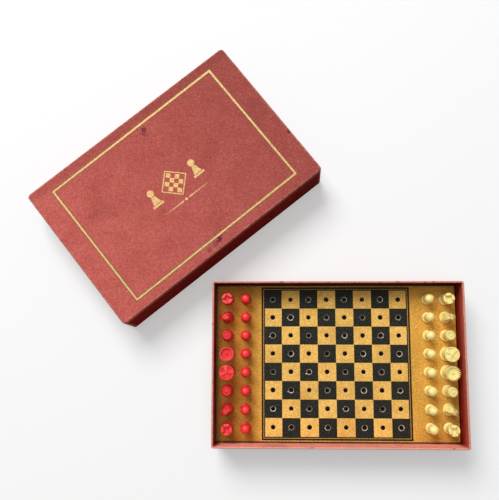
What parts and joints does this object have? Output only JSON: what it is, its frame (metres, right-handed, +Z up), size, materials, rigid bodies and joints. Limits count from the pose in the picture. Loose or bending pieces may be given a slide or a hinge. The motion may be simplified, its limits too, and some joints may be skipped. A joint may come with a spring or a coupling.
{
  "type": "pocket chess set",
  "caption": "Card box with a pegged chess panel inside: red and ivory men stand in storage holes at the two ends, and the lift-off lid stands on the table beside the tray.",
  "frame": {"origin": "centre of the tray's underside", "axes": "+X along the tray's length towards the ivory men, +Y across it towards the lid, +Z up"},
  "size_m": [0.2869, 0.265, 0.031],
  "materials": {
    "card": "plain grey-brown board",
    "cover_paper": "matt maroon paper",
    "hardboard": "tan pressed fibre",
    "red_plastic": "moulded, glossy",
    "ivory_plastic": "moulded"
  },
  "bodies": {
    "tray": {"tray_shell": "card", "tray_wrap": "cover_paper", "support_strip_front": "card", "support_strip_back": "card", "support_strip_left": "card", "support_strip_right": "card", "board_panel": "hardboard"},
    "lid": {"lid_shell": "card", "lid_wrap": "cover_paper"},
    "red_rook_1_body": {"red_rook_1": "red_plastic"},
    "red_knight_1_body": {"red_knight_1": "red_plastic"},
    "red_bishop_1_body": {"red_bishop_1": "red_plastic"},
    "red_queen_body": {"red_queen": "red_plastic"},
    "red_king_body": {"red_king": "red_plastic"},
    "red_bishop_2_body": {"red_bishop_2": "red_plastic"},
    "red_knight_2_body": {"red_knight_2": "red_plastic"},
    "red_rook_2_body": {"red_rook_2": "red_plastic"},
    "red_pawn_1_body": {"red_pawn_1": "red_plastic"},
    "red_pawn_2_body": {"red_pawn_2": "red_plastic"},
    "red_pawn_3_body": {"red_pawn_3": "red_plastic"},
    "red_pawn_4_body": {"red_pawn_4": "red_plastic"},
    "red_pawn_5_body": {"red_pawn_5": "red_plastic"},
    "red_pawn_6_body": {"red_pawn_6": "red_plastic"},
    "red_pawn_7_body": {"red_pawn_7": "red_plastic"},
    "red_pawn_8_body": {"red_pawn_8": "red_plastic"},
    "ivory_rook_1_body": {"ivory_rook_1": "ivory_plastic"},
    "ivory_knight_1_body": {"ivory_knight_1": "ivory_plastic"},
    "ivory_bishop_1_body": {"ivory_bishop_1": "ivory_plastic"},
    "ivory_queen_body": {"ivory_queen": "ivory_plastic"},
    "ivory_king_body": {"ivory_king": "ivory_plastic"},
    "ivory_bishop_2_body": {"ivory_bishop_2": "ivory_plastic"},
    "ivory_knight_2_body": {"ivory_knight_2": "ivory_plastic"},
    "ivory_rook_2_body": {"ivory_rook_2": "ivory_plastic"},
    "ivory_pawn_1_body": {"ivory_pawn_1": "ivory_plastic"},
    "ivory_pawn_2_body": {"ivory_pawn_2": "ivory_plastic"},
    "ivory_pawn_3_body": {"ivory_pawn_3": "ivory_plastic"},
    "ivory_pawn_4_body": {"ivory_pawn_4": "ivory_plastic"},
    "ivory_pawn_5_body": {"ivory_pawn_5": "ivory_plastic"},
    "ivory_pawn_6_body": {"ivory_pawn_6": "ivory_plastic"},
    "ivory_pawn_7_body": {"ivory_pawn_7": "ivory_plastic"},
    "ivory_pawn_8_body": {"ivory_pawn_8": "ivory_plastic"}
  },
  "joints": [
    {"name": "lid_lift", "type": "slide", "parent": "tray", "child": "lid", "axis": [0, 0, 1], "range_m": [0, 0.04]},
    {"name": "red_rook_1_lift", "type": "slide", "parent": "tray", "child": "red_rook_1_body", "axis": [0, 0, 1], "range_m": [0, 0.025]},
    {"name": "red_knight_1_lift", "type": "slide", "parent": "tray", "child": "red_knight_1_body", "axis": [0, 0, 1], "range_m": [0, 0.025]},
    {"name": "red_bishop_1_lift", "type": "slide", "parent": "tray", "child": "red_bishop_1_body", "axis": [0, 0, 1], "range_m": [0, 0.025]},
    {"name": "red_queen_lift", "type": "slide", "parent": "tray", "child": "red_queen_body", "axis": [0, 0, 1], "range_m": [0, 0.025]},
    {"name": "red_king_lift", "type": "slide", "parent": "tray", "child": "red_king_body", "axis": [0, 0, 1], "range_m": [0, 0.025]},
    {"name": "red_bishop_2_lift", "type": "slide", "parent": "tray", "child": "red_bishop_2_body", "axis": [0, 0, 1], "range_m": [0, 0.025]},
    {"name": "red_knight_2_lift", "type": "slide", "parent": "tray", "child": "red_knight_2_body", "axis": [0, 0, 1], "range_m": [0, 0.025]},
    {"name": "red_rook_2_lift", "type": "slide", "parent": "tray", "child": "red_rook_2_body", "axis": [0, 0, 1], "range_m": [0, 0.025]},
    {"name": "red_pawn_1_lift", "type": "slide", "parent": "tray", "child": "red_pawn_1_body", "axis": [0, 0, 1], "range_m": [0, 0.025]},
    {"name": "red_pawn_2_lift", "type": "slide", "parent": "tray", "child": "red_pawn_2_body", "axis": [0, 0, 1], "range_m": [0, 0.025]},
    {"name": "red_pawn_3_lift", "type": "slide", "parent": "tray", "child": "red_pawn_3_body", "axis": [0, 0, 1], "range_m": [0, 0.025]},
    {"name": "red_pawn_4_lift", "type": "slide", "parent": "tray", "child": "red_pawn_4_body", "axis": [0, 0, 1], "range_m": [0, 0.025]},
    {"name": "red_pawn_5_lift", "type": "slide", "parent": "tray", "child": "red_pawn_5_body", "axis": [0, 0, 1], "range_m": [0, 0.025]},
    {"name": "red_pawn_6_lift", "type": "slide", "parent": "tray", "child": "red_pawn_6_body", "axis": [0, 0, 1], "range_m": [0, 0.025]},
    {"name": "red_pawn_7_lift", "type": "slide", "parent": "tray", "child": "red_pawn_7_body", "axis": [0, 0, 1], "range_m": [0, 0.025]},
    {"name": "red_pawn_8_lift", "type": "slide", "parent": "tray", "child": "red_pawn_8_body", "axis": [0, 0, 1], "range_m": [0, 0.025]},
    {"name": "ivory_rook_1_lift", "type": "slide", "parent": "tray", "child": "ivory_rook_1_body", "axis": [0, 0, 1], "range_m": [0, 0.025]},
    {"name": "ivory_knight_1_lift", "type": "slide", "parent": "tray", "child": "ivory_knight_1_body", "axis": [0, 0, 1], "range_m": [0, 0.025]},
    {"name": "ivory_bishop_1_lift", "type": "slide", "parent": "tray", "child": "ivory_bishop_1_body", "axis": [0, 0, 1], "range_m": [0, 0.025]},
    {"name": "ivory_queen_lift", "type": "slide", "parent": "tray", "child": "ivory_queen_body", "axis": [0, 0, 1], "range_m": [0, 0.025]},
    {"name": "ivory_king_lift", "type": "slide", "parent": "tray", "child": "ivory_king_body", "axis": [0, 0, 1], "range_m": [0, 0.025]},
    {"name": "ivory_bishop_2_lift", "type": "slide", "parent": "tray", "child": "ivory_bishop_2_body", "axis": [0, 0, 1], "range_m": [0, 0.025]},
    {"name": "ivory_knight_2_lift", "type": "slide", "parent": "tray", "child": "ivory_knight_2_body", "axis": [0, 0, 1], "range_m": [0, 0.025]},
    {"name": "ivory_rook_2_lift", "type": "slide", "parent": "tray", "child": "ivory_rook_2_body", "axis": [0, 0, 1], "range_m": [0, 0.025]},
    {"name": "ivory_pawn_1_lift", "type": "slide", "parent": "tray", "child": "ivory_pawn_1_body", "axis": [0, 0, 1], "range_m": [0, 0.025]},
    {"name": "ivory_pawn_2_lift", "type": "slide", "parent": "tray", "child": "ivory_pawn_2_body", "axis": [0, 0, 1], "range_m": [0, 0.025]},
    {"name": "ivory_pawn_3_lift", "type": "slide", "parent": "tray", "child": "ivory_pawn_3_body", "axis": [0, 0, 1], "range_m": [0, 0.025]},
    {"name": "ivory_pawn_4_lift", "type": "slide", "parent": "tray", "child": "ivory_pawn_4_body", "axis": [0, 0, 1], "range_m": [0, 0.025]},
    {"name": "ivory_pawn_5_lift", "type": "slide", "parent": "tray", "child": "ivory_pawn_5_body", "axis": [0, 0, 1], "range_m": [0, 0.025]},
    {"name": "ivory_pawn_6_lift", "type": "slide", "parent": "tray", "child": "ivory_pawn_6_body", "axis": [0, 0, 1], "range_m": [0, 0.025]},
    {"name": "ivory_pawn_7_lift", "type": "slide", "parent": "tray", "child": "ivory_pawn_7_body", "axis": [0, 0, 1], "range_m": [0, 0.025]},
    {"name": "ivory_pawn_8_lift", "type": "slide", "parent": "tray", "child": "ivory_pawn_8_body", "axis": [0, 0, 1], "range_m": [0, 0.025]}
  ]
}
